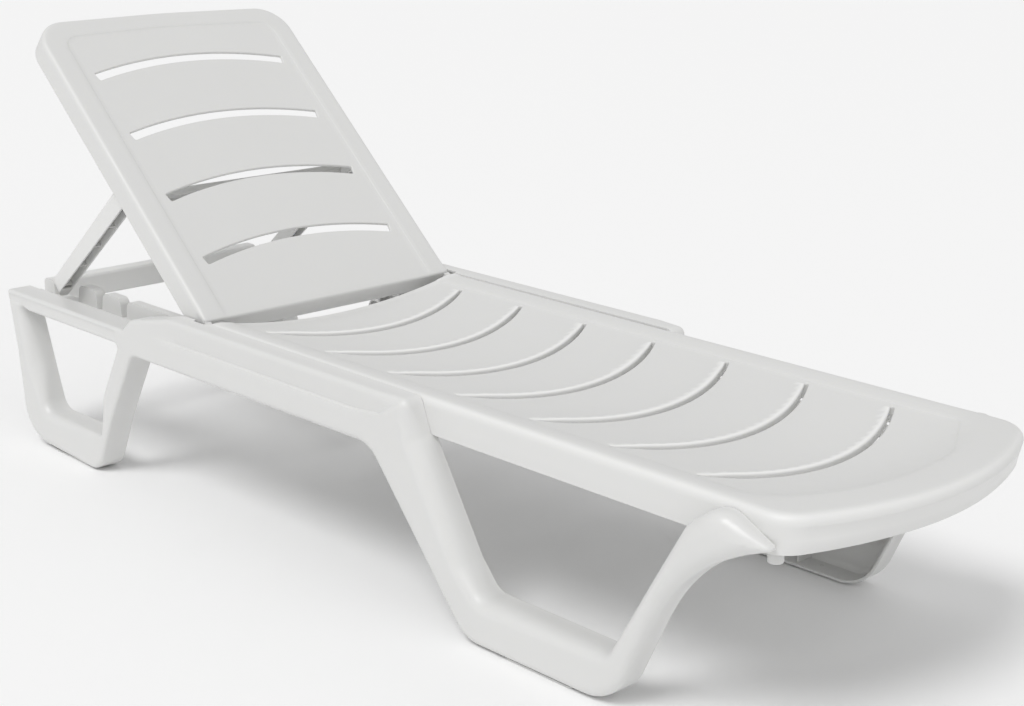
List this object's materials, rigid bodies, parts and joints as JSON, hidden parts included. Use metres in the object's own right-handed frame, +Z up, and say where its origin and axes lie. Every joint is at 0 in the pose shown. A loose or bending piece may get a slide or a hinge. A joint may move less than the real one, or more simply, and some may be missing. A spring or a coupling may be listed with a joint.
{
  "type": "reclining sun lounger",
  "caption": "Reclining garden sun lounger in moulded resin: slotted dished bed on looped leg frames, with a hinged slotted backrest held by a folding prop.",
  "frame": {"origin": "on the floor, in the middle of the lounger's outline", "axes": "+X towards the foot end, +Z up, +Y across to the right of somebody lying on it"},
  "size_m": [1.9388, 0.65, 0.8134],
  "materials": {
    "resin_panel": "fine-grained satin moulded polypropylene, white",
    "resin_frame": "satin moulded polypropylene, white",
    "resin_pin": "smooth moulded polypropylene, white",
    "foot_pad": "smooth wear-resistant resin, off-white",
    "screw_steel": "stainless self-tapping screws"
  },
  "bodies": {
    "bed": {"deck_panel": "resin_panel", "side_frame_left": "resin_frame", "side_frame_right": "resin_frame", "head_cross_rail": "resin_frame", "prop_track_left": "resin_frame", "prop_track_right": "resin_frame", "backrest_hinge_pin_left": "resin_pin", "backrest_hinge_pin_right": "resin_pin", "stacking_peg_left": "resin_pin", "stacking_peg_right": "resin_pin", "frame_screws_left": "screw_steel", "frame_screws_right": "screw_steel", "foot_pad_rear_left": "foot_pad", "foot_pad_rear_right": "foot_pad", "foot_pad_front_left": "foot_pad", "foot_pad_front_right": "foot_pad"},
    "backrest": {"backrest_panel": "resin_panel", "prop_pivot_pin_left": "resin_pin", "prop_pivot_pin_right": "resin_pin"},
    "prop": {"prop_frame": "resin_frame"}
  },
  "joints": [
    {"name": "backrest_recline", "type": "hinge", "parent": "bed", "child": "backrest", "pos_m": [-0.36567, 0, 0.33099], "axis": [0, 1, 0], "range_deg": [-41.5, 21.5]},
    {"name": "prop_swing", "type": "hinge", "parent": "backrest", "child": "prop", "pos_m": [-0.6139, 0, 0.53592], "axis": [0, 1, 0], "range_deg": [-42.7, 82.4]}
  ],
  "couplings": [
    {"joint": "prop_swing", "follows": "backrest_recline", "ratio": -1.9847}
  ]
}
